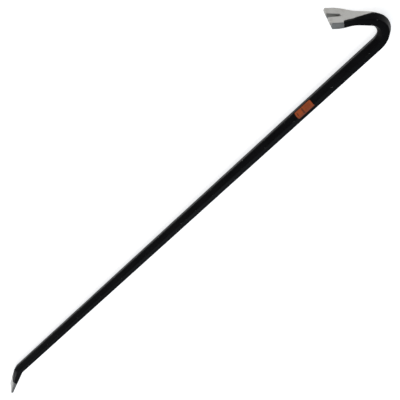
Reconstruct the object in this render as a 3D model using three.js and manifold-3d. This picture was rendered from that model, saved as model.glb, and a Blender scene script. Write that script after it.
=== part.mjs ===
// A gooseneck wrecking bar: one forging of hexagonal bar with a slotted claw on a short hook at one end
// and a chisel at the other. Millimetres, +Z up. The bar lies on its side on the plane Z = 0.
// X runs along the shaft from the chisel to the hook, the hook reaches towards +Y, and Z is the width
// of the claw. Each zone of the forging, by section and finish, is a closed solid of its own.

import * as THREE from "three";
import { mergeVertices } from "three/addons/utils/BufferGeometryUtils.js";
import Module from "manifold-3d";

// Bar stock
const ACROSS_FLATS = 20;
const CORNER_CROWN = 0.8;
const SHAFT_LENGTH = 1112;

// Hook: a bend of the plain bar, then an arm that curls on a little and is drawn out to the claw
const BEND_RADIUS = 34;
const BEND_ANGLE = THREE.MathUtils.degToRad(116.4);
const ARM_LENGTH = 75;
const ARM_CURL = THREE.MathUtils.degToRad(6);
const CLAW_WIDTH = 35.4;
const CLAW_EDGE = 3;
const CLAW_BEVEL = 6;
const CLAW_FLARE_START = 0.3;
const CLAW_FLARE_END = 0.82;

// Nail slot, a V that opens at the claw's edge
const SLOT_DEPTH = 22;
const SLOT_MOUTH = 8;
const SLOT_ROOT = 4.5;

// Length of the arm, from the claw's edge, that is ground bright
const CLAW_GROUND = 30;

// Foot: a small bend away from the hook's side, then the chisel
const HEEL_RADIUS = 24;
const HEEL_ANGLE = THREE.MathUtils.degToRad(19);
const CHISEL_LENGTH = 93;
const CHISEL_WIDTH = 28;
const CHISEL_EDGE = 4.5;
const CHISEL_GROUND = 47;

// Label on the flat that faces up and towards the hook's side, folded over onto the top flat
const LABEL_CENTRE = 953;
const LABEL_LENGTH = 37;
const LABEL_WIDTH = 10.6;
const LABEL_FOLD = 4.4;
const LABEL_THICKNESS = 0.3;

// Clearance under the label
const LABEL_GAP = 0.3;

const FLAT_WIDTH = ACROSS_FLATS / Math.sqrt(3);

const wasm = await Module();
wasm.setup();

// Sections ------------------------------------------------------------------------------------------
// A section has eight corners and is symmetric in Z. half is half its width, and shoulder is half the
// height of its upright sides. outer and inner are the heights of the outer and inner faces over its
// middle, outerCrown and innerCrown are half the widths of those faces, and shift is how far its middle
// stands out to the outer side of the centreline.

function hexagonSection() {
  const height = FLAT_WIDTH - (CORNER_CROWN * FLAT_WIDTH) / ACROSS_FLATS;
  return {
    half: ACROSS_FLATS / 2,
    shoulder: FLAT_WIDTH / 2,
    outer: height,
    outerCrown: CORNER_CROWN,
    inner: height,
    innerCrown: CORNER_CROWN,
    shift: 0,
  };
}

function edgeSection(width, thickness) {
  return {
    half: width / 2,
    shoulder: thickness / 2 - 0.4,
    outer: thickness / 2,
    outerCrown: width / 2 - 0.8,
    inner: thickness / 2,
    innerCrown: width / 2 - 0.8,
    shift: 0,
  };
}

function mix(a, b, t) {
  const section = {};
  for (const key of Object.keys(a)) {
    section[key] = THREE.MathUtils.lerp(a[key], b[key], t);
  }
  return section;
}

const ramp = (t, from, to) => THREE.MathUtils.clamp((t - from) / (to - from), 0, 1);

const HEXAGON = hexagonSection();
const CHISEL_TIP = edgeSection(CHISEL_WIDTH, CHISEL_EDGE);

// From the plain bar at t = 0 to the claw's edge at t = 1. The bar's corners flatten into an outer and an
// inner face, the claw spreads between the two flare shares, and a bevel on the inner side makes its edge.
function clawSection(t) {
  const spread = THREE.MathUtils.smoothstep(t, CLAW_FLARE_START, CLAW_FLARE_END);
  const flattened = ramp(t, 0, 0.5);
  const bevel = ramp(t, 1 - CLAW_BEVEL / ARM_LENGTH, 1);
  const half = THREE.MathUtils.lerp(HEXAGON.half, CLAW_WIDTH / 2, spread);
  const shoulder = THREE.MathUtils.lerp(HEXAGON.shoulder, CLAW_EDGE / 2, bevel);
  const height = THREE.MathUtils.lerp(HEXAGON.outer, shoulder + 0.4, flattened);
  const crown = THREE.MathUtils.lerp(CORNER_CROWN, half - 0.8, flattened);
  return {
    half,
    shoulder,
    outer: height,
    outerCrown: crown,
    inner: height,
    innerCrown: crown,
    shift: HEXAGON.shoulder - shoulder,
  };
}

// The chisel is drawn out evenly, from its edge at t = 0 to the plain bar at t = 1.
const chiselSection = (t) => mix(CHISEL_TIP, HEXAGON, t);

// Centreline ----------------------------------------------------------------------------------------
// A station is a point of the centreline with its heading in the XY plane, measured from +X.

const ORIGIN = { x: 0, y: 0, heading: 0 };

function advance(station, length, turn) {
  const bow = Math.abs(turn) < 1e-9 ? 1 : Math.sin(turn / 2) / (turn / 2);
  const chord = station.heading + turn / 2;
  return {
    x: station.x + length * bow * Math.cos(chord),
    y: station.y + length * bow * Math.sin(chord),
    heading: station.heading + turn,
  };
}

function corners(station, section) {
  const outline = [
    [section.outerCrown, section.outer],
    [section.half, section.shoulder],
    [section.half, -section.shoulder],
    [section.innerCrown, -section.inner],
    [-section.innerCrown, -section.inner],
    [-section.half, -section.shoulder],
    [-section.half, section.shoulder],
    [-section.outerCrown, section.outer],
  ];
  const sine = Math.sin(station.heading);
  const cosine = Math.cos(station.heading);
  return outline.map(([z, height]) => {
    const out = height + section.shift;
    return [station.x + out * sine, station.y - out * cosine, z];
  });
}

// Rings of corners from t = first to t = last along one stretch of the centreline.
function stretch(start, length, turn, steps, sectionAt, first = 0, last = 1) {
  const rings = [];
  for (let i = 0; i <= steps; i += 1) {
    const t = THREE.MathUtils.lerp(first, last, i / steps);
    rings.push(corners(advance(start, length * t, turn * t), sectionAt(t)));
  }
  return rings;
}

// Solids --------------------------------------------------------------------------------------------

function loft(rings) {
  const count = rings[0].length;
  const at = (ring, corner) => ring * count + (corner % count);
  const index = [];
  for (let ring = 0; ring + 1 < rings.length; ring += 1) {
    for (let corner = 0; corner < count; corner += 1) {
      index.push(at(ring, corner), at(ring + 1, corner + 1), at(ring, corner + 1));
      index.push(at(ring, corner), at(ring + 1, corner), at(ring + 1, corner + 1));
    }
  }
  const last = rings.length - 1;
  for (let corner = 1; corner + 1 < count; corner += 1) {
    index.push(at(0, 0), at(0, corner), at(0, corner + 1));
    index.push(at(last, 0), at(last, corner + 1), at(last, corner));
  }
  const geometry = new THREE.BufferGeometry();
  geometry.setAttribute("position", new THREE.Float32BufferAttribute(rings.flat(2), 3));
  geometry.setIndex(index);
  return geometry;
}

function toSolid(geometry) {
  const bare = geometry.clone();
  bare.deleteAttribute("normal");
  bare.deleteAttribute("uv");
  const merged = mergeVertices(bare, 1e-4);
  const vertProperties = new Float32Array(merged.attributes.position.array);
  const triVerts = new Uint32Array(merged.index.array);
  return new wasm.Manifold(new wasm.Mesh({ numProp: 3, vertProperties, triVerts }));
}

function toGeometry(solid) {
  const { vertProperties, triVerts } = solid.getMesh();
  const geometry = new THREE.BufferGeometry();
  geometry.setAttribute("position", new THREE.BufferAttribute(vertProperties, 3));
  geometry.setIndex(new THREE.BufferAttribute(triVerts, 1));
  return geometry;
}

// Axes at a station: the first along the centreline, the second along Z, the third to the outer side.
function stationMatrix(station) {
  const along = new THREE.Vector3(Math.cos(station.heading), Math.sin(station.heading), 0);
  const across = new THREE.Vector3(0, 0, 1);
  const outward = new THREE.Vector3().crossVectors(along, across);
  return new THREE.Matrix4().makeBasis(along, across, outward).setPosition(station.x, station.y, 0);
}

// The V-shaped tool that cuts the nail slot, in the claw's plane, with its round root inside the claw.
function slotTool(station) {
  const reach = 10;
  const mouth = (SLOT_MOUTH + ((SLOT_MOUTH - SLOT_ROOT) * reach) / SLOT_DEPTH) / 2;
  const outline = new THREE.Shape();
  outline.moveTo(reach, -mouth);
  outline.lineTo(reach, mouth);
  outline.absarc(SLOT_ROOT / 2 - SLOT_DEPTH, 0, SLOT_ROOT / 2, Math.PI / 2, (3 * Math.PI) / 2, false);
  const height = 60;
  const options = { depth: height, bevelEnabled: false, curveSegments: 8 };
  const geometry = new THREE.ExtrudeGeometry(outline, options).translate(0, 0, -height / 2);
  return toSolid(geometry.applyMatrix4(stationMatrix(station)));
}

// The label's film in section, in the plane across the shaft: Y first, Z second. It lies on the flat
// whose normal is 60 degrees from +Z towards +Y, and folds onto the flat that faces +Z.
function labelPoint(height, distance) {
  const slope = Math.PI / 3;
  const fold = (height * (1 - Math.cos(slope))) / Math.sin(slope);
  if (distance < 0) {
    return [FLAT_WIDTH / 2 + fold + distance, height + ACROSS_FLATS / 2];
  }
  const y = FLAT_WIDTH / 2 + fold + distance * Math.cos(slope);
  return [y, height + ACROSS_FLATS / 2 - distance * Math.sin(slope)];
}

function labelGeometry() {
  const inside = LABEL_GAP;
  const outside = LABEL_GAP + LABEL_THICKNESS;
  const section = [
    labelPoint(inside, -LABEL_FOLD),
    labelPoint(inside, 0),
    labelPoint(inside, LABEL_WIDTH),
    labelPoint(outside, LABEL_WIDTH),
    labelPoint(outside, 0),
    labelPoint(outside, -LABEL_FOLD),
  ];
  const outline = new THREE.Shape(section.map(([y, z]) => new THREE.Vector2(y, z)));
  const geometry = new THREE.ExtrudeGeometry(outline, { depth: LABEL_LENGTH, bevelEnabled: false });
  const axes = new THREE.Matrix4().makeBasis(
    new THREE.Vector3(0, 1, 0),
    new THREE.Vector3(0, 0, 1),
    new THREE.Vector3(1, 0, 0),
  );
  return geometry.applyMatrix4(axes).translate(LABEL_CENTRE - LABEL_LENGTH / 2, 0, 0);
}

// Assembly ------------------------------------------------------------------------------------------

const painted = new THREE.MeshStandardMaterial({ color: 0x0f0f11, roughness: 0.45, metalness: 0 });
const ground = new THREE.MeshStandardMaterial({ color: 0xb4b3ae, roughness: 0.35, metalness: 1 });
const vinyl = new THREE.MeshStandardMaterial({ color: 0xc8501e, roughness: 0.5, metalness: 0 });

const bar = new THREE.Group();

function add(name, geometry, material) {
  const mesh = new THREE.Mesh(geometry, material);
  mesh.name = name;
  bar.add(mesh);
}

const plainBar = () => HEXAGON;

// Foot, from the chisel's edge to the shaft
const heelLength = HEEL_RADIUS * HEEL_ANGLE;
const heelStart = advance(ORIGIN, -heelLength, HEEL_ANGLE);
const chiselEdge = advance(heelStart, -CHISEL_LENGTH, 0);
const chiselSplit = CHISEL_GROUND / CHISEL_LENGTH;
add("chisel_blade", loft(stretch(chiselEdge, CHISEL_LENGTH, 0, 3, chiselSection, 0, chiselSplit)), ground);
add("chisel_neck", loft(stretch(chiselEdge, CHISEL_LENGTH, 0, 4, chiselSection, chiselSplit, 1)), painted);
add("chisel_heel", loft(stretch(heelStart, heelLength, -HEEL_ANGLE, 6, plainBar)), painted);

add("shaft", loft(stretch(ORIGIN, SHAFT_LENGTH, 0, 1, plainBar)), painted);
add("label", labelGeometry(), vinyl);

// Hook, from the shaft to the claw's edge
const shaftEnd = advance(ORIGIN, SHAFT_LENGTH, 0);
const bendLength = BEND_RADIUS * BEND_ANGLE;
const bendEnd = advance(shaftEnd, bendLength, BEND_ANGLE);
const clawEdge = advance(bendEnd, ARM_LENGTH, ARM_CURL);
const clawSplit = 1 - CLAW_GROUND / ARM_LENGTH;
const bevelStart = 1 - CLAW_BEVEL / ARM_LENGTH;
const clawRings = [
  ...stretch(bendEnd, ARM_LENGTH, ARM_CURL, 5, clawSection, clawSplit, bevelStart),
  ...stretch(bendEnd, ARM_LENGTH, ARM_CURL, 2, clawSection, bevelStart, 1).slice(1),
];
add("gooseneck_bend", loft(stretch(shaftEnd, bendLength, BEND_ANGLE, 18, plainBar)), painted);
add("claw_neck", loft(stretch(bendEnd, ARM_LENGTH, ARM_CURL, 10, clawSection, 0, clawSplit)), painted);
add("claw_blade", toGeometry(toSolid(loft(clawRings)).subtract(slotTool(clawEdge))), ground);

// The origin is under the middle of the whole bar, on the plane that it lies on.
const bounds = new THREE.Box3().setFromObject(bar);
const middle = bounds.getCenter(new THREE.Vector3());
bar.position.set(-middle.x, -middle.y, -bounds.min.z);
bar.updateMatrixWorld(true);

export default bar;
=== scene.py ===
import math

import bmesh
import bpy
from mathutils import Matrix, Vector, noise


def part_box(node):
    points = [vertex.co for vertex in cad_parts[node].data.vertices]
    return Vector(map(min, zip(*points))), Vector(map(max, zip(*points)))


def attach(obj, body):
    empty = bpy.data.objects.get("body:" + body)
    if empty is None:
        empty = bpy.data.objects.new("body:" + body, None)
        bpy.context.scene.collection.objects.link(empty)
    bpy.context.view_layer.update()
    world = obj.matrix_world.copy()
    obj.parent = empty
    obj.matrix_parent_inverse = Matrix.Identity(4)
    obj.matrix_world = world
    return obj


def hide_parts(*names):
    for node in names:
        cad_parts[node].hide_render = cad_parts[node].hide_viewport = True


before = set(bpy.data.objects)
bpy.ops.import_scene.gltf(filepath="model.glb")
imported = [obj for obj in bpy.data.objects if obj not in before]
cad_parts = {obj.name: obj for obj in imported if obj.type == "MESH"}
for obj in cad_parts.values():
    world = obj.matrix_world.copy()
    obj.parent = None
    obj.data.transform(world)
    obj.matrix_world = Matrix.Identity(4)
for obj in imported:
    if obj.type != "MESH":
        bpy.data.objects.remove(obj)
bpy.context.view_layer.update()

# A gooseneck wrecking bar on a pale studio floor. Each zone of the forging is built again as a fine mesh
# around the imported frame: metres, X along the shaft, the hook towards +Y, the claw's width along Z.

MM = 0.001

# ---------------------------------------------------------------------------------------------------
# Sizes. The shaft's box gives the bar stock and where it lies; the rest repeats the CAD's dimensions.

shaft_low, shaft_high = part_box("shaft")
ACROSS_FLATS = shaft_high.z - shaft_low.z
SHAFT_LENGTH = shaft_high.x - shaft_low.x
MIDDLE_Y = (shaft_low.y + shaft_high.y) / 2
MIDDLE_Z = (shaft_low.z + shaft_high.z) / 2
FLAT_WIDTH = ACROSS_FLATS / math.sqrt(3)
CORNER_CROWN = 0.8 * MM

BEND_RADIUS = 34 * MM
BEND_ANGLE = math.radians(116.4)
ARM_LENGTH = 75 * MM
ARM_CURL = math.radians(6)
CLAW_WIDTH = 35.4 * MM
CLAW_EDGE = 3 * MM
CLAW_BEVEL = 6 * MM
CLAW_FLARE_START = 0.3
CLAW_FLARE_END = 0.82
CLAW_GROUND = 30 * MM

SLOT_DEPTH = 22 * MM
SLOT_MOUTH = 8 * MM
SLOT_ROOT = 4.5 * MM
SLOT_BEVEL = 0.7 * MM

HEEL_RADIUS = 24 * MM
HEEL_ANGLE = math.radians(19)
CHISEL_LENGTH = 93 * MM
CHISEL_WIDTH = 28 * MM
CHISEL_EDGE = 4.5 * MM
CHISEL_GROUND = 47 * MM

LABEL_CENTRE = 953 * MM
LABEL_LENGTH = 37 * MM
# How far the label reaches from the bar's corner, down its flat and over the top flat
LABEL_WIDTH = 10.1 * MM
LABEL_FOLD = 3.9 * MM
LABEL_THICKNESS = 0.2 * MM
LABEL_CORNER = 1.8 * MM
LABEL_FOLD_RADIUS = 1.5 * MM
LABEL_CLEARANCE = 0.02 * MM

# The bevel along a blade's long corners, across the blade and down its side
BLADE_BEVEL_WIDTH = 0.8 * MM
BLADE_BEVEL_HEIGHT = 0.4 * MM

# Rounding of the bar's corners and of the blades' corners, in section
BAR_CORNER = 1.2 * MM
BLADE_CORNER = 0.45 * MM
# Rounding of the blades' corners and of the slot's mouth, seen on the flat, and of the cutting edges
BLADE_PLAN_CORNER = 3 * MM
SLOT_MOUTH_ROUND = 1.2 * MM
BLADE_EDGE_ROUND = 0.5 * MM
# A round or a bevel takes up at most this share of the side that it is cut from
ROUND_LIMIT = 0.45

# How far the bright steel reaches back from each edge. On the claw's outer face it reaches furthest
# along the side that lies on the floor: near the edge that is ground steel, and the far reach, into the
# bend, is a painted reflection along that crest.
CLAW_BARE_AND_SHEEN_FAR = 104 * MM
CLAW_BARE_NEAR = 22 * MM
CLAW_BARE_INNER = 26 * MM
CHISEL_BARE_INNER = 49 * MM
CHISEL_BARE_OUTER = 43 * MM

# The most metal that is missing from a forged face, and the share of it that a ground face has
UNEVENNESS = 0.12 * MM
GROUND_SHARE = 0.3


# ---------------------------------------------------------------------------------------------------
# Sections, as in the CAD: eight corners, symmetric in Z, given by one half. shift is how far the
# section's middle stands out to the outer side of the centreline.

def lerp(a, b, t):
    return a + (b - a) * t


def ramp(t, start, end):
    return min(max((t - start) / (end - start), 0), 1)


def smooth(t):
    return t * t * (3 - 2 * t)


def hexagon():
    height = FLAT_WIDTH - CORNER_CROWN * FLAT_WIDTH / ACROSS_FLATS
    return {
        "half": ACROSS_FLATS / 2,
        "shoulder": FLAT_WIDTH / 2,
        "outer": height,
        "outer_crown": CORNER_CROWN,
        "inner": height,
        "inner_crown": CORNER_CROWN,
        "corner": BAR_CORNER,
        "shift": 0,
    }


def edge_section(width, thickness):
    return {
        "half": width / 2,
        "shoulder": thickness / 2 - BLADE_BEVEL_HEIGHT,
        "outer": thickness / 2,
        "outer_crown": width / 2 - BLADE_BEVEL_WIDTH,
        "inner": thickness / 2,
        "inner_crown": width / 2 - BLADE_BEVEL_WIDTH,
        "corner": BLADE_CORNER,
        "shift": 0,
    }


HEXAGON = hexagon()
CHISEL_TIP = edge_section(CHISEL_WIDTH, CHISEL_EDGE)


def bar_section(t):
    return HEXAGON


def claw_section(t):
    spread = smooth(ramp(t, CLAW_FLARE_START, CLAW_FLARE_END))
    flattened = ramp(t, 0, 0.5)
    bevel = ramp(t, 1 - CLAW_BEVEL / ARM_LENGTH, 1)
    half = lerp(HEXAGON["half"], CLAW_WIDTH / 2, spread)
    shoulder = lerp(HEXAGON["shoulder"], CLAW_EDGE / 2, bevel)
    height = lerp(HEXAGON["outer"], shoulder + BLADE_BEVEL_HEIGHT, flattened)
    crown = lerp(CORNER_CROWN, half - BLADE_BEVEL_WIDTH, flattened)
    return {
        "half": half,
        "shoulder": shoulder,
        "outer": height,
        "outer_crown": crown,
        "inner": height,
        "inner_crown": crown,
        "corner": lerp(BAR_CORNER, BLADE_CORNER, t),
        "shift": HEXAGON["shoulder"] - shoulder,
    }


def chisel_section(t):
    return {key: lerp(CHISEL_TIP[key], HEXAGON[key], t) for key in HEXAGON}


# ---------------------------------------------------------------------------------------------------
# Centreline. A station is a place on it with its heading in the XY plane, and its distance along it.

class Station:
    def __init__(self, x, y, heading, along):
        self.x = x
        self.y = y
        self.heading = heading
        self.along = along

    def advance(self, length, turn):
        bow = math.sin(turn / 2) / (turn / 2) if abs(turn) > 1e-9 else 1
        chord = self.heading + turn / 2
        return Station(
            self.x + length * bow * math.cos(chord),
            self.y + length * bow * math.sin(chord),
            self.heading + turn,
            self.along + length,
        )

    def stood_out(self, distance):
        """The same station, moved to the outer side of the centreline."""
        x = self.x + distance * math.sin(self.heading)
        y = self.y - distance * math.cos(self.heading)
        return Station(x, y, self.heading, self.along)

    def place(self, out, z):
        """The point that stands out to the outer side of the centreline, and z above the middle plane."""
        x = self.x + out * math.sin(self.heading)
        y = self.y - out * math.cos(self.heading)
        return Vector((x, y, MIDDLE_Z + z))


shaft_start = Station(shaft_low.x, MIDDLE_Y, 0, 0)
shaft_end = shaft_start.advance(SHAFT_LENGTH, 0)
bend_end = shaft_end.advance(BEND_RADIUS * BEND_ANGLE, BEND_ANGLE)
heel_start = shaft_start.advance(-HEEL_RADIUS * HEEL_ANGLE, HEEL_ANGLE)
chisel_edge = heel_start.advance(-CHISEL_LENGTH, 0)
claw_edge = bend_end.advance(ARM_LENGTH, ARM_CURL)


# ---------------------------------------------------------------------------------------------------
# Half an outline, from the middle of the outer face round to the middle of the inner face, as points
# (z, out, wear). wear is 1 on the crest of a corner and 0 on a flat. Every outline has as many points.

FACE_STEPS = 8
SLOPE_STEPS = 6
SIDE_STEPS = 4
CORNER_STEPS = 4


def rounded_corner(before, corner, after, radius):
    """Points of the round that replaces a corner of an outline, with their wear."""
    to_before = (before - corner).normalized()
    to_after = (after - corner).normalized()
    half_angle = to_before.angle(to_after) / 2
    room = ROUND_LIMIT * min((before - corner).length, (after - corner).length)
    reach = min(radius / math.tan(half_angle), room)
    start = corner + to_before * reach
    end = corner + to_after * reach
    points = []
    for i in range(CORNER_STEPS + 1):
        t = i / CORNER_STEPS
        point = start.lerp(corner, t).lerp(corner.lerp(end, t), t)
        points.append((point, 1 - abs(2 * t - 1)))
    return points


def half_outline(section, slot=0):
    """slot is how far from the middle the slot's edge is."""
    s = section
    ends = (Vector((slot, s["outer"])), Vector((slot, -s["inner"])))
    corners = (
        Vector((s["outer_crown"], s["outer"])),
        Vector((s["half"], s["shoulder"])),
        Vector((s["half"], -s["shoulder"])),
        Vector((s["inner_crown"], -s["inner"])),
    )
    path = (ends[0], *corners, ends[1])
    outline = [(ends[0], 0)]
    steps = (FACE_STEPS, SLOPE_STEPS, SIDE_STEPS, SLOPE_STEPS, FACE_STEPS)
    for i, count in enumerate(steps):
        if i < len(corners):
            arc = rounded_corner(path[i], path[i + 1], path[i + 2], s["corner"])
        else:
            arc = [(ends[1], 0)]
        start = outline[-1][0]
        for k in range(1, count):
            outline.append((start.lerp(arc[0][0], k / count), 0))
        outline.extend(arc)
    return [(point.x, point.y, wear) for point, wear in outline]


# ---------------------------------------------------------------------------------------------------
# Meshes. Each vertex carries its place on the bar as if it were straight (along, out, z), its wear, and
# a third value, how far it is inside the bright part: ground steel, which ends at a slanted line on the
# outer faces, and on the claw also a painted reflection further back along the floor-side crest. So the
# grinding marks, chips and forge scale follow the bar round its bends.

def painted_all_over(along, out, z):
    return -1


def claw_bare_and_sheen(along, out, z):
    # Near the edge this is ground steel; the far reach on the floor side paints a reflection along the
    # outer crest as bright steel
    outer_bare_and_sheen_line = lerp(CLAW_BARE_AND_SHEEN_FAR, CLAW_BARE_NEAR, ramp(z, -10 * MM, 12.5 * MM))
    line = lerp(CLAW_BARE_INNER, outer_bare_and_sheen_line, smooth(ramp(out, -5 * MM, 4 * MM)))
    return line - (claw_edge.along - along)


def chisel_bare(along, out, z):
    line = lerp(CHISEL_BARE_INNER, CHISEL_BARE_OUTER, smooth(ramp(out, -4 * MM, 4 * MM)))
    return line - (along - chisel_edge.along)


class Skin:
    """A mesh in the making, with the three attributes."""

    def __init__(self, bare_and_sheen_at=painted_all_over):
        self.mesh = bmesh.new()
        self.bare_and_sheen_at = bare_and_sheen_at
        self.straight = self.mesh.verts.layers.float_vector.new("straight")
        self.wear = self.mesh.verts.layers.float.new("wear")
        self.bare_and_sheen = self.mesh.verts.layers.float.new("bare_and_sheen")

    def vertex(self, station, z, out, wear, forged=1):
        """forged is how uneven the surface is, from 0 on a ground face to 1 on a forged one. It only
        ever takes metal away."""
        straight = Vector((station.along, out, z))
        lump = noise.fractal(straight * 60, 1.0, 2.0, 3) * 0.5 + 0.5
        reach = math.hypot(z, out)
        shrink = 1 - forged * UNEVENNESS * lump / reach if reach > 1e-6 else 1
        vertex = self.mesh.verts.new(station.place(out * shrink, z * shrink))
        vertex[self.straight] = straight
        vertex[self.wear] = wear
        vertex[self.bare_and_sheen] = self.bare_and_sheen_at(station.along, out, z)
        return vertex

    def ring(self, station, section, forged=1):
        middle = station.stood_out(section["shift"])
        half = half_outline(section)
        whole = half + [(-z, out, wear) for z, out, wear in half[-2:0:-1]]
        return [self.vertex(middle, z, out, wear, forged) for z, out, wear in whole]

    def bridge(self, first, second, closed=True):
        count = len(first)
        for i in range(count if closed else count - 1):
            j = (i + 1) % count
            corners = (first[i], first[j], second[j], second[i])
            distinct = list(dict.fromkeys(corners))
            if len(distinct) > 2:
                self.mesh.faces.new(distinct)

    def cap(self, ring):
        self.mesh.faces.new(ring)

    def finish(self, name):
        bmesh.ops.recalc_face_normals(self.mesh, faces=self.mesh.faces)
        data = bpy.data.meshes.new(name)
        self.mesh.to_mesh(data)
        self.mesh.free()
        for face in data.polygons:
            face.use_smooth = True
        data.set_sharp_from_angle(angle=math.radians(35))
        piece = bpy.data.objects.new(name, data)
        bpy.context.scene.collection.objects.link(piece)
        return piece


def swept(name, start, length, turn, stops, section_at, forged=1, bare_and_sheen_at=painted_all_over):
    """A closed skin along one stretch of the centreline. stops are its rings' places, as shares of it."""
    skin = Skin(bare_and_sheen_at)
    rings = []
    for t in stops:
        station = start.advance(length * t, turn * t)
        rings.append(skin.ring(station, section_at(t), forged))
    for first, second in zip(rings, rings[1:]):
        skin.bridge(first, second)
    skin.cap(rings[0])
    skin.cap(rings[-1])
    return skin.finish(name)


def evenly(count, start=0, end=1):
    return [lerp(start, end, i / count) for i in range(count + 1)]


# ---------------------------------------------------------------------------------------------------
# Blades. Their edge corners are rounded on the flat, and their cutting edge is slightly blunt.

EDGE_STEPS = 6


def near_edge(back, radius):
    """How far a blade's side draws in at a distance back from its edge."""
    return radius - math.sqrt(radius ** 2 - (radius - min(back, radius)) ** 2)


def edge_stops(radius):
    return [radius * (1 - math.cos(math.radians(90) * i / EDGE_STEPS)) for i in range(EDGE_STEPS + 1)]


def drawn_in(section, back):
    """The section a distance back from the edge, with its corners rounded off."""
    inset = near_edge(back, BLADE_PLAN_CORNER)
    thinner = near_edge(back, BLADE_EDGE_ROUND) * 0.8
    s = dict(section)
    s["half"] -= inset
    s["outer_crown"] -= inset
    s["inner_crown"] = min(s["inner_crown"], s["half"] - BLADE_BEVEL_WIDTH)
    s["outer"] -= thinner
    s["inner"] -= thinner
    s["shoulder"] = max(s["shoulder"] - thinner, 0.2 * MM)
    return s


def chisel_blade():
    def section_at(t):
        return drawn_in(chisel_section(t), t * CHISEL_LENGTH)

    split = CHISEL_GROUND / CHISEL_LENGTH
    round_part = [back / CHISEL_LENGTH for back in edge_stops(BLADE_PLAN_CORNER)]
    stops = round_part + evenly(24, round_part[-1], split)[1:]
    return swept(
        "chisel_blade_ground", chisel_edge, CHISEL_LENGTH, 0, stops, section_at, GROUND_SHARE, chisel_bare
    )


def slot_half_width(back, grow=0):
    """Half the slot's width, a distance back from the claw's edge, grown all round by grow."""
    root = SLOT_ROOT / 2
    centre = SLOT_DEPTH - root
    if back <= centre:
        mouth_round = near_edge(back, SLOT_MOUTH_ROUND)
        return lerp(SLOT_MOUTH / 2, root, back / centre) + grow + mouth_round
    return math.sqrt(max((root + grow) ** 2 - (back - centre) ** 2, 0))


def claw_stops():
    """Distances back from the claw's edge of the blade's rings, close together where it is round."""
    root = SLOT_ROOT / 2
    centre = SLOT_DEPTH - root
    stops = edge_stops(BLADE_PLAN_CORNER)
    stops += evenly(10, stops[-1], CLAW_BEVEL)[1:]
    stops += evenly(12, CLAW_BEVEL, centre)[1:]
    stops += [centre + root * math.sin(math.radians(90) * i / 10) for i in range(1, 11)]
    stops += evenly(4, SLOT_DEPTH, SLOT_DEPTH + SLOT_BEVEL)[1:]
    return stops + evenly(8, stops[-1], CLAW_GROUND)[1:]


WALL_STEPS = 4


def claw_blade():
    """One half of the blade, with one finger, then the same turned over the middle plane."""
    skin = Skin(claw_bare_and_sheen)
    for side in (1, -1):
        previous = None
        for back in claw_stops():
            t = 1 - back / ARM_LENGTH
            station = bend_end.advance(ARM_LENGTH * t, ARM_CURL * t)
            section = drawn_in(claw_section(t), back)
            station = station.stood_out(section["shift"])
            top_width = slot_half_width(back, SLOT_BEVEL)
            wall_width = slot_half_width(back) if back < SLOT_DEPTH else 0
            drop = SLOT_BEVEL if back < SLOT_DEPTH else max(SLOT_DEPTH + SLOT_BEVEL - back, 0)
            drop = min(drop, section["outer"] * ROUND_LIMIT)
            outline = half_outline(section, top_width)
            row = [skin.vertex(station, side * z, out, wear, GROUND_SHARE) for z, out, wear in outline]
            wall = []
            for i in range(WALL_STEPS + 1):
                out = lerp(drop - section["inner"], section["outer"] - drop, i / WALL_STEPS)
                wear = 1 if i in (0, WALL_STEPS) and wall_width > 0 else 0
                wall.append(skin.vertex(station, side * wall_width, out, wear, GROUND_SHARE))
            if previous:
                last_row, last_wall, last_wall_width, last_top_width = previous
                skin.bridge(last_row, row, closed=False)
                if last_top_width > 0:
                    skin.bridge([last_row[-1], last_wall[0]], [row[-1], wall[0]], closed=False)
                    skin.bridge([last_wall[-1], last_row[0]], [wall[-1], row[0]], closed=False)
                if last_wall_width > 0:
                    skin.bridge(last_wall, wall, closed=False)
            else:
                skin.cap(row + wall)
            previous = (row, wall, wall_width, top_width)
        if side == 1:
            first_end = previous[0]
    skin.cap(first_end + previous[0][::-1])
    loose = [v for v in skin.mesh.verts if not v.link_faces]
    bmesh.ops.delete(skin.mesh, geom=loose, context="VERTS")
    bmesh.ops.remove_doubles(skin.mesh, verts=skin.mesh.verts, dist=0.002 * MM)
    return skin.finish("claw_blade_ground")


# ---------------------------------------------------------------------------------------------------
# Label: a film round the corner between two flats of the shaft. On its vertices, straight is the place
# on the film when it is laid flat: (along from its middle, across from the bar's corner, height).

def film_point(across, height):
    """The point of the film's section, (y, z) from the shaft's axis."""
    radius = LABEL_FOLD_RADIUS
    corner_angle = math.radians(60)
    half_arc = radius * corner_angle / 2
    inward = radius / math.cos(corner_angle / 2)
    centre_y = FLAT_WIDTH / 2 - inward * math.sin(corner_angle / 2)
    centre_z = ACROSS_FLATS / 2 - inward * math.cos(corner_angle / 2)
    angle = corner_angle / 2 + min(max(across, -half_arc), half_arc) / radius
    beyond = across - min(max(across, -half_arc), half_arc)
    y = centre_y + (radius + height) * math.sin(angle) + beyond * math.cos(angle)
    z = centre_z + (radius + height) * math.cos(angle) - beyond * math.sin(angle)
    return y, z


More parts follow.
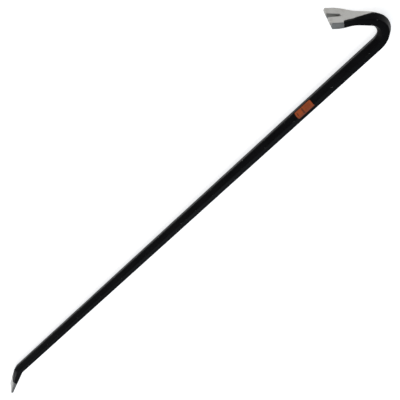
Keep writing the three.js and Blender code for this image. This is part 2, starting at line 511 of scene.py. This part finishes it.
def label_film():
    skin = Skin()
    across_steps = 40
    ends = edge_stops(LABEL_CORNER)
    middle = evenly(60, LABEL_CORNER, LABEL_LENGTH - LABEL_CORNER)[1:-1]
    rows = []
    for back in ends + middle + [LABEL_LENGTH - end for end in reversed(ends)]:
        inset = near_edge(min(back, LABEL_LENGTH - back), LABEL_CORNER)
        row = []
        for height, order in ((LABEL_THICKNESS, 1), (LABEL_CLEARANCE, -1)):
            for share in evenly(across_steps)[::order]:
                across = lerp(inset - LABEL_FOLD, LABEL_WIDTH - inset, share)
                y, z = film_point(across, height)
                x = shaft_low.x + LABEL_CENTRE - LABEL_LENGTH / 2 + back
                vertex = skin.mesh.verts.new((x, MIDDLE_Y + y, MIDDLE_Z + z))
                vertex[skin.straight] = Vector((back - LABEL_LENGTH / 2, across, height))
                row.append(vertex)
        rows.append(row)
    for first, second in zip(rows, rows[1:]):
        skin.bridge(first, second)
    skin.cap(rows[0])
    skin.cap(rows[-1])
    return skin.finish("label_film")


# ---------------------------------------------------------------------------------------------------
# Materials

PAINT_DARK = (0.0011, 0.0011, 0.0014, 1)
PAINT_LIGHT = (0.0022, 0.0021, 0.0026, 1)
STEEL_DARK = (0.31, 0.304, 0.288, 1)
STEEL_LIGHT = (0.51, 0.5, 0.474, 1)
STEEL_STAIN = (0.24, 0.225, 0.20, 1)
ORANGE_DARK = (0.33, 0.058, 0.009, 1)
ORANGE_LIGHT = (0.39, 0.075, 0.013, 1)
PRINT = (0.075, 0.018, 0.006, 1)
SCUFF = (0.10, 0.035, 0.02, 1)

# Depths of the relief on the bar and on the label, and how much the paint's edge wanders
BAR_RELIEF = 0.12 * MM
LABEL_RELIEF = 0.02 * MM
PAINT_EDGE_WANDER = 7 * MM


def new_material(name):
    material = bpy.data.materials.new(name)
    material.use_nodes = True
    tree = material.node_tree
    shader = tree.nodes["Principled BSDF"]
    return material, tree, shader


class Graph:
    """Short names for the node types that the materials use."""

    def __init__(self, tree):
        self.tree = tree

    def node(self, kind, **settings):
        made = self.tree.nodes.new(kind)
        for key, value in settings.items():
            setattr(made, key, value)
        return made

    def link(self, source, target):
        self.tree.links.new(source, target)

    def feed(self, socket, value):
        if hasattr(value, "is_linked"):
            self.link(value, socket)
        else:
            socket.default_value = value

    def attribute(self, name, output="Vector"):
        return self.node("ShaderNodeAttribute", attribute_name=name).outputs[output]

    def part(self, vector, axis):
        made = self.node("ShaderNodeSeparateXYZ")
        self.link(vector, made.inputs["Vector"])
        return made.outputs[axis]

    def scaled(self, vector, scale):
        made = self.node("ShaderNodeVectorMath", operation="MULTIPLY")
        self.link(vector, made.inputs[0])
        made.inputs[1].default_value = scale
        return made.outputs["Vector"]

    def noise(self, vector, scale, detail=3, roughness=0.5):
        made = self.node("ShaderNodeTexNoise")
        self.link(vector, made.inputs["Vector"])
        made.inputs["Scale"].default_value = scale
        made.inputs["Detail"].default_value = detail
        made.inputs["Roughness"].default_value = roughness
        return made.outputs["Fac"]

    def math(self, operation, a, b=0.0):
        made = self.node("ShaderNodeMath", operation=operation)
        self.feed(made.inputs[0], a)
        self.feed(made.inputs[1], b)
        return made.outputs["Value"]

    def remap(self, value, low, high, out_low=0.0, out_high=1.0):
        made = self.node("ShaderNodeMapRange", interpolation_type="SMOOTHSTEP")
        self.link(value, made.inputs["Value"])
        for name, number in (
            ("From Min", low), ("From Max", high), ("To Min", out_low), ("To Max", out_high)
        ):
            made.inputs[name].default_value = number
        return made.outputs["Result"]

    def band(self, value, start, end, soft=0.15 * MM):
        """1 where the value is between start and end, 0 outside."""
        offset = self.math("ABSOLUTE", self.math("SUBTRACT", value, (start + end) / 2))
        half = (end - start) / 2
        return self.remap(offset, half - soft, half + soft, 1.0, 0.0)

    def mix(self, factor, a, b):
        """A mix of two colours."""
        made = self.node("ShaderNodeMix", data_type="RGBA")
        self.feed(made.inputs["Factor"], factor)
        self.feed(made.inputs["A"], a)
        self.feed(made.inputs["B"], b)
        return made.outputs["Result"]

    def blend(self, factor, a, b):
        """A mix of two numbers."""
        made = self.node("ShaderNodeMix", data_type="FLOAT")
        self.feed(made.inputs["Factor"], factor)
        self.feed(made.inputs["A"], a)
        self.feed(made.inputs["B"], b)
        return made.outputs["Result"]

    def bump(self, height, distance):
        made = self.node("ShaderNodeBump")
        made.inputs["Strength"].default_value = 1.0
        made.inputs["Distance"].default_value = distance
        self.link(height, made.inputs["Height"])
        return made.outputs["Normal"]


def bar_material(name):
    """Black paint over forged steel, bright steel where the vertex value for the bright part is above
    zero: ground steel, and on the claw's floor-side crest a painted reflection.
    """
    material, tree, shader = new_material(name)
    g = Graph(tree)
    straight = g.attribute("straight")
    wear = g.attribute("wear", "Fac")
    bare_and_sheen = g.attribute("bare_and_sheen", "Fac")

    peel = g.noise(straight, 650, 2)
    scale_lumps = g.noise(straight, 110, 4, 0.6)
    clouds = g.noise(straight, 22, 3)
    chips = g.noise(straight, 260, 5, 0.65)
    paint = g.mix(g.remap(clouds, 0.3, 0.7), PAINT_DARK, PAINT_LIGHT)
    paint_rough = g.remap(clouds, 0.3, 0.7, 0.36, 0.48)
    paint_height = g.math("ADD", g.math("MULTIPLY", peel, 0.25), scale_lumps)

    grind = g.noise(g.scaled(straight, (90, 2600, 2600)), 1.0, 4, 0.7)
    passes = g.noise(g.scaled(straight, (30, 260, 260)), 1.0, 3)
    stains = g.noise(straight, 70, 4, 0.6)
    metal = g.mix(grind, STEEL_DARK, STEEL_LIGHT)
    metal = g.mix(g.remap(stains, 0.5, 0.75, 0.0, 0.45), metal, STEEL_STAIN)
    metal_rough = g.blend(grind, 0.32, 0.50)
    metal_height = g.math("ADD", g.math("MULTIPLY", grind, 0.4), g.math("MULTIPLY", passes, 0.4))

    ragged = g.math("SUBTRACT", g.noise(straight, 190, 4, 0.6), 0.5)
    ragged = g.math("MULTIPLY", ragged, PAINT_EDGE_WANDER)
    # The bright part takes the metal colours: ground steel, and along the claw's floor-side crest a
    # painted reflection
    ground = g.remap(g.math("ADD", bare_and_sheen, ragged), -0.35 * MM, 0.35 * MM)
    chipped = g.remap(g.math("ADD", chips, g.math("MULTIPLY", wear, 0.17)), 0.77, 0.81)
    steel = g.math("MAXIMUM", ground, chipped)

    g.link(g.mix(steel, paint, metal), shader.inputs["Base Color"])
    g.link(g.blend(steel, paint_rough, metal_rough), shader.inputs["Roughness"])
    g.link(steel, shader.inputs["Metallic"])
    shader.inputs["Specular IOR Level"].default_value = 0.08
    height = g.blend(ground, paint_height, metal_height)
    height = g.math("SUBTRACT", height, g.math("MULTIPLY", chipped, 0.8))
    g.link(g.bump(height, BAR_RELIEF), shader.inputs["Normal"])
    return material


def vinyl_material():
    """Satin orange vinyl, printed with plain dark bars."""
    material, tree, shader = new_material("orange_vinyl")
    g = Graph(tree)
    straight = g.attribute("straight")
    along = g.part(straight, "X")
    across = g.part(straight, "Y")
    block = g.math("MULTIPLY", g.band(along, -4.4 * MM, -1.2 * MM), g.band(across, -2.2 * MM, 8.4 * MM))
    ruled = g.math("FRACT", g.math("DIVIDE", g.math("ADD", across, 20 * MM), 2.4 * MM))
    rules = g.band(ruled, 0.36, 0.64, 0.06)
    rules = g.math("MULTIPLY", rules, g.band(across, 0.6 * MM, 8.2 * MM))
    rules = g.math("MULTIPLY", rules, g.band(along, 1.5 * MM, 14.5 * MM))
    small = g.math("MULTIPLY", g.band(along, -15.5 * MM, -13.6 * MM), g.band(across, 1.2 * MM, 7.4 * MM))
    print_share = g.math("MAXIMUM", g.math("MAXIMUM", block, rules), small)
    rubbed = g.remap(g.noise(straight, 420, 4, 0.7), 0.35, 0.75, 0.9, 0.45)
    tone = g.remap(g.noise(straight, 90, 3), 0.3, 0.7)
    orange = g.mix(tone, ORANGE_DARK, ORANGE_LIGHT)
    inked = g.mix(g.math("MULTIPLY", print_share, rubbed), orange, PRINT)
    scuffs = g.noise(g.scaled(straight, (150, 2200, 2200)), 1.0, 3, 0.7)
    scuffed = g.mix(g.remap(scuffs, 0.62, 0.75, 0.0, 0.35), inked, SCUFF)
    g.link(scuffed, shader.inputs["Base Color"])
    g.link(g.remap(scuffs, 0.4, 0.8, 0.34, 0.6), shader.inputs["Roughness"])
    shader.inputs["Specular IOR Level"].default_value = 0.3
    g.link(g.bump(g.noise(straight, 900, 2), LABEL_RELIEF), shader.inputs["Normal"])
    return material


PAINT = bar_material("black_paint")
STEEL = bar_material("ground_steel")
VINYL = vinyl_material()


def stand_in(piece, node, material):
    piece.data.materials.append(material)
    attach(piece, "root")
    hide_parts(node)


# ---------------------------------------------------------------------------------------------------
# The bar

def bar_pieces():
    claw_split = 1 - CLAW_GROUND / ARM_LENGTH
    chisel_split = CHISEL_GROUND / CHISEL_LENGTH
    bend_length = BEND_RADIUS * BEND_ANGLE
    heel_length = HEEL_RADIUS * HEEL_ANGLE

    shaft = swept("shaft_painted", shaft_start, SHAFT_LENGTH, 0, evenly(160), bar_section)
    stand_in(shaft, "shaft", PAINT)
    # The bend shares the claw's bright mask, so the painted reflection runs on along its floor-side crest
    bend = swept(
        "gooseneck_painted", shaft_end, bend_length, BEND_ANGLE, evenly(56), bar_section, 1, claw_bare_and_sheen
    )
    stand_in(bend, "gooseneck_bend", PAINT)
    neck_stops = evenly(60, 0, claw_split)
    neck = swept(
        "claw_neck_painted", bend_end, ARM_LENGTH, ARM_CURL, neck_stops, claw_section, 1, claw_bare_and_sheen
    )
    stand_in(neck, "claw_neck", PAINT)
    stand_in(claw_blade(), "claw_blade", STEEL)
    heel = swept("chisel_heel_painted", heel_start, heel_length, -HEEL_ANGLE, evenly(12), bar_section)
    stand_in(heel, "chisel_heel", PAINT)
    neck_stops = evenly(60, chisel_split, 1)
    neck = swept(
        "chisel_neck_painted", chisel_edge, CHISEL_LENGTH, 0, neck_stops, chisel_section, 1, chisel_bare
    )
    stand_in(neck, "chisel_neck", PAINT)
    stand_in(chisel_blade(), "chisel_blade", STEEL)
    stand_in(label_film(), "label", VINYL)


bar_pieces()

# ---------------------------------------------------------------------------------------------------
# Studio: a pale floor, soft light, and the camera

CAMERA_PLACE = Vector((0.936, 0.8719, 0.8772))
CAMERA_AZIMUTH = math.radians(48.97)
CAMERA_ELEVATION = math.radians(35.62)
CAMERA_ROLL = math.radians(164.43)
CAMERA_LENS = 71.6

SKY_COLOUR = (0.86, 0.92, 1.0, 1)
SKY_STRENGTH = 0.3
# The floor glows a little, so that it stays white without a shadow
FLOOR_GLOW = 0.68


def studio():
    world = bpy.data.worlds.new("studio")
    bpy.context.scene.world = world
    world.use_nodes = True
    background = world.node_tree.nodes["Background"]
    background.inputs["Color"].default_value = SKY_COLOUR
    background.inputs["Strength"].default_value = SKY_STRENGTH

    bpy.ops.mesh.primitive_plane_add(size=14, location=(0, 0, 0))
    floor = bpy.context.object
    floor.name = "floor"
    material, _, shader = new_material("pale_floor")
    shader.inputs["Base Color"].default_value = (0.9, 0.9, 0.9, 1)
    shader.inputs["Roughness"].default_value = 0.9
    shader.inputs["Specular IOR Level"].default_value = 0.1
    shader.inputs["Emission Color"].default_value = (1, 1, 1, 1)
    shader.inputs["Emission Strength"].default_value = FLOOR_GLOW
    floor.data.materials.append(material)


def softbox(name, place, aim, size, power, colour=(1, 1, 1)):
    light = bpy.data.lights.new(name, "AREA")
    light.shape = "SQUARE"
    light.size = size
    light.energy = power
    light.color = colour
    lamp = bpy.data.objects.new(name, light)
    lamp.location = place
    lamp.rotation_euler = (Vector(aim) - Vector(place)).to_track_quat("-Z", "Y").to_euler()
    bpy.context.scene.collection.objects.link(lamp)


def camera():
    data = bpy.data.cameras.new("camera")
    data.lens = CAMERA_LENS
    data.sensor_width = 36
    data.clip_end = 50
    body = bpy.data.objects.new("camera", data)
    away = Vector((
        math.cos(CAMERA_ELEVATION) * math.cos(CAMERA_AZIMUTH),
        math.cos(CAMERA_ELEVATION) * math.sin(CAMERA_AZIMUTH),
        math.sin(CAMERA_ELEVATION),
    ))
    level = (-away).to_track_quat("-Z", "Y").to_matrix()
    turned = level @ Matrix.Rotation(CAMERA_ROLL, 3, "Z")
    body.matrix_world = Matrix.Translation(CAMERA_PLACE) @ turned.to_4x4()
    bpy.context.scene.collection.objects.link(body)
    bpy.context.scene.camera = body


studio()
softbox("key", (0.6, 1.8, 2.4), (0, 0, 0), 2.6, 22)
softbox("rim", (-1.5, 0.6, 2.3), (0, 0, 0), 1.2, 12)
softbox("cool_fill", (-1.1, -1.9, 1.7), (0.3, 0, 0), 1.4, 5, (0.78, 0.89, 1.0))
camera()

bpy.context.scene.view_settings.view_transform = "Standard"
